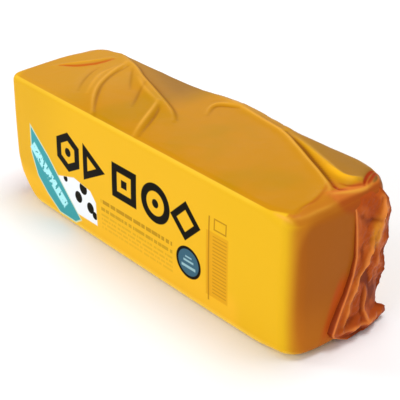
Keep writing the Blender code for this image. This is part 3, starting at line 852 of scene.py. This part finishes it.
def filmInputs(g):
    # the place on the piece, how far a crease lifts it, and the painted highlights and shade along its
    # creases
    where = g.add("ShaderNodeTexCoord").outlet("Object")
    rise = g.add("ShaderNodeAttribute", {"attribute_name": "rise"}).outlet("Fac") / mm
    tone = g.add("ShaderNodeAttribute", {"attribute_name": "tone"}).outlet("Vector")
    return where, rise, g.split(tone)


def finishFilm(g, shader, look, where, cloud, colour):
    g.feed(colour, shader, "Base Color")
    g.feed(look["roughness"] + (cloud - 0.5) * look["roughnessSpread"], shader, "Roughness")
    crinkle = g.noise(where, look["crinkleScale"], 4.0, 0.6)
    ripple = 0.5 - abs(crinkle - 0.5) * 2.0 + cloud * look["cloudInBump"]
    bump = g.add("ShaderNodeBump", None, {"Strength": look["bump"], "Distance": mm, "Height": ripple})
    g.feed(bump, shader, "Normal")
    shader.inputs["Specular IOR Level"].default_value = look["gloss"]


def makeFilmMaterial():
    look = filmFinish
    material, g, shader = newMaterial("printedFilm")
    tint, share = mixer(g, look)
    where, rise, (pale, dark, yellow) = filmInputs(g)
    x, y, z = [part / mm for part in g.split(where)]
    lean = g.add("ShaderNodeAttribute", {"attribute_name": "lean"}).outlet("Vector")
    endward, sideward, upward = g.split(lean)
    cloud = g.noise(where, look["cloudScale"], 3.0, 0.6)
    patches = g.noise(where, look["patchScale"], 2.0)
    # the printed side: yellow, more orange along its lower half
    front = tint(look["front"], "frontDull", share("dullNearX", x) * share("dullFarX", x))
    front = tint(front, "frontFar", share("frontFarX", x))
    front = tint(front, "frontLow", share("lowZ", z) * share("lowX", x))
    # a painted highlight along the foot of the printed side
    front = tint(front, "baseHighlight", share("baseHighlightZ", z) * 0.9)
    # the top: ochre, with painted shade past the long crease towards the back
    plain = tint(look["top"], "topPatch", share("patchShare", patches))
    top = tint(plain, "topFar", share("topFarX", x) * 0.8)
    stops = [(place, (value, value, value, 1.0)) for place, value in look["stripLine"]]
    line = g.add("ShaderNodeValToRGB", {"stops": stops}, {"Fac": (x + 150.0) / 300.0})
    pastLine = y - (g.split(line)[0] * 90.0 - 45.0)
    behind = share("stripEdge", pastLine) * (share("stripFarX", x) + share("stripNearX", x))
    top = tint(top, "shadedBackStrip", behind * (0.62 + share("stripDeep", pastLine) * 0.3))
    # the folded film where the top meets the near end: the lighter rim colour of the ends' painted shade, a
    # painted highlight along the fold band, and painted shade at the back corner
    pastRim = x - 137.7 + most((y + 8.2) * 0.243, (y + 8.2) * 0.475)
    top = tint(top, "rim", share("rimPast", pastRim) * share("rimY", y) * 0.8)
    top = tint(top, "foldHighlight", share("bandPast", x - 138.8 - (y + 4.0) * 0.12) * share("bandY", y))
    pastCorner = (x - 143.0) * 0.94 + (y - 31.0) * 0.34
    top = tint(top, "shadedBackCorner", share("topCornerPast", pastCorner) * share("topCornerY", y))
    top = tint(top, "frontFar", share("farEdgePast", x + (y + 45.0) * 0.5) * 0.8)
    # the ends, painted in shade: a smooth darker oval within a lighter rim for the light on their rounded
    # edges, lighter towards the base, then painted shadow and highlight at the folded film above the flap
    (ovalY, ovalZ), (halfY, halfZ) = look["ovalMiddle"], look["ovalHalf"]
    oval = ((((y - ovalY) / halfY) ** 4.0) + (((z - ovalZ) / halfZ) ** 4.0)) ** 0.25
    middle = tint(look["oval"], "ovalLow", share("ovalLowZ", z))
    end = g.colour(look["rim"], middle, share("ovalRim", oval))
    # painted red shadow on the end beside the foot of the flap
    footShadowShare = share("footPast", y + 29.0 - z * 0.45) * share("footTopZ", z) * share("footBaseZ", z)
    end = tint(end, "footShadow", footShadowShare * 0.85)
    # painted shadow under the film folded down over the end's top edge
    end = tint(end, "fold", share("foldY", y) * share("foldPast", z + y * 0.6 - 95.0))
    # painted shade at the back corner of the end's top edge
    end = tint(end, "shadedBackCorner", share("backCornerY", y) * share("backCornerZ", z))
    # painted highlight along the fold band at the end's top edge
    end = tint(end, "foldHighlight", share("endBandY", y) * share("endBandZ", z))
    # the sides are put together by the direction that the film faces
    # the back takes a little of that painted shade near its top
    back = tint(plain, "shadedBackStrip", share("shadedBackStripZ", z) * 0.4)
    colour = g.colour(back, front, share("frontSide", sideward))
    # the ends' painted shade also reaches over the rounded upper front edge next to each end
    overEdge = share("overEdgeUp", upward) * share("overEdgeEnd", abs(endward))
    overEdge = overEdge * share("overEdgeSide", sideward)
    colour = g.colour(colour, end, most(share("endShare", abs(endward)), overEdge))
    # a painted highlight along the top edge of the printed side
    edgeHighlight = share("edgeHighlightUp", upward) * share("edgeHighlightSide", sideward) * share("edgeHighlightX", x)
    colour = tint(colour, "edgeHighlight", edgeHighlight * 0.25)
    widened = share("nearX", x) * share("nearY", y) * 0.15
    colour = g.colour(colour, top, share("topShare", upward - widened))
    # the creases: painted highlight where high, painted shade where low, and each one's own painted
    # highlights and shade
    # the painted shade of the creases, redder at the near end and lighter at the far end
    creaseShade = tint(look["dark"], "darkEnd", share("nearX", x))
    creaseShade = tint(creaseShade, "darkFar", share("darkFarX", x))
    colour = tint(colour, "pale", share("paleRise", rise) * 0.25)
    colour = g.colour(colour, creaseShade, share("darkRise", rise) * 0.3)
    colour = tint(colour, "yellow", yellow)
    colour = g.colour(colour, creaseShade, least(dark * 0.85, 1.0))
    colour = tint(colour, "pale", pale * 0.8)
    colour = g.colour(colour, addPrint(g, colour, x, z), share("printSide", sideward))
    finishFilm(g, shader, look, where, cloud, colour)
    return material


def makeFlapMaterial():
    look = flapFinish
    material, g, shader = newMaterial("foldedFilm")
    tint, share = mixer(g, look)
    where, rise, (pale, dark, yellow) = filmInputs(g)
    cloud = g.noise(where, look["cloudScale"], 3.0)
    colour = tint(look["film"], "cloudy", share("cloudShare", cloud))
    # painted highlight where the film stands high, painted shade where it sinks, then the painted
    # highlights and shade along its creases
    colour = tint(colour, "pale", share("paleRise", rise) * 0.6)
    colour = tint(colour, "dark", share("darkRise", rise + cloud - 0.5) * 0.9)
    colour = tint(colour, "yellow", yellow * 0.9)
    colour = tint(colour, "dark", least(dark * 0.9, 1.0))
    colour = tint(colour, "pale", pale * 0.85)
    finishFilm(g, shader, look, where, cloud, colour)
    return material


# Floor, lights and camera

studio = {
    "floorSize": 12.0, "floor": paint(254, 254, 255),
    "grain": (0.93, 0.93, 0.94, 1.0), "grainScale": 6.0, "grainShare": 0.15,
    "sky": 0.45,
    "lights": [  # place, size and power
        ((0.1, -3.0, 1.3), 1.4, 32.0),
        ((-1.8, -1.3, 1.6), 0.6, 11.0),
        ((-1.6, 1.5, 1.3), 0.7, 3.0),
        ((0.2, 0.6, 2.8), 1.4, 42.0),
    ],
    "aim": (0.0, 0.0, 0.05),
}

photoCamera = {
    "azimuth": 48.80, "elevation": 29.36, "roll": -0.28, "distance": 0.8059,
    "lens": 99.24, "sensor": 36.0, "shift": (0.0418, -0.0334), "clip": (0.05, 50.0),
}


def makeStudio():
    half = studio["floorSize"] / 2
    mesh = bpy.data.meshes.new("floor")
    corners = [(-half, -half, 0), (half, -half, 0), (half, half, 0), (-half, half, 0)]
    mesh.from_pydata(corners, [], [(0, 1, 2, 3)])
    material, g, shader = newMaterial("paleFloor")
    grain = g.add("ShaderNodeTexNoise", None, {"Scale": studio["grainScale"], "Detail": 2.0})
    tone = g.colour(studio["floor"], studio["grain"], g.ease(0.3, 0.7, grain) * studio["grainShare"])
    g.feed(tone, shader, "Base Color")
    shader.inputs["Roughness"].default_value = 0.9
    mesh.materials.append(material)
    floor = addToScene("floor", mesh)
    world = bpy.data.worlds.new("studioWorld")
    world.use_nodes = True
    background = world.node_tree.nodes["Background"]
    background.inputs["Color"].default_value = (1.0, 1.0, 1.0, 1.0)
    background.inputs["Strength"].default_value = studio["sky"]
    bpy.context.scene.world = world
    for number, (place, size, power) in enumerate(studio["lights"]):
        data = bpy.data.lights.new(f"softbox{number}", "AREA")
        data.shape = "SQUARE"
        data.size = size
        data.energy = power
        light = addToScene(f"softbox{number}", data)
        light.location = place
        light.rotation_mode = "QUATERNION"
        light.rotation_quaternion = (Vector(studio["aim"]) - Vector(place)).to_track_quat("-Z", "Y")


def makeCamera():
    look = photoCamera
    azimuth, elevation, roll = (math.radians(look[name]) for name in ("azimuth", "elevation", "roll"))
    back = Vector((math.sin(azimuth) * math.cos(elevation), -math.cos(azimuth) * math.cos(elevation),
                   math.sin(elevation)))
    right = Vector((math.cos(azimuth), math.sin(azimuth), 0.0))
    up = back.cross(right)
    turnedRight = right * math.cos(roll) + up * math.sin(roll)
    turnedUp = up * math.cos(roll) - right * math.sin(roll)
    data = bpy.data.cameras.new("photoCamera")
    data.lens = look["lens"]
    data.sensor_width = look["sensor"]
    data.shift_x, data.shift_y = look["shift"]
    data.clip_start, data.clip_end = look["clip"]
    camera = addToScene("photoCamera", data)
    axes = [turnedRight, turnedUp, back]
    place = Vector(studio["aim"]) + back * look["distance"]
    rows = [[*(axis[row] for axis in axes), place[row]] for row in range(3)]
    camera.matrix_world = Matrix([*rows, [0.0, 0.0, 0.0, 1.0]])
    bpy.context.scene.camera = camera


# Making it all

makeCamera()
makeStudio()
bpy.context.scene.view_settings.view_transform = "Standard"
print("studio and camera ready")

printedFilm = makeFilmMaterial()
foldedFilm = makeFlapMaterial()
print("materials ready")

pieces = [
    makeFilmBar(printedFilm),
    makeFilmFlap("filmFlapNear", 1, foldedFilm),
    makeFilmFlap("filmFlapFar", -1, foldedFilm),
]
for piece in pieces:
    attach(piece, "root")
    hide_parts(nodeName)
    triangles = sum(len(face.vertices) - 2 for face in piece.data.polygons)
    print(f"{piece.name}: {triangles} triangles")
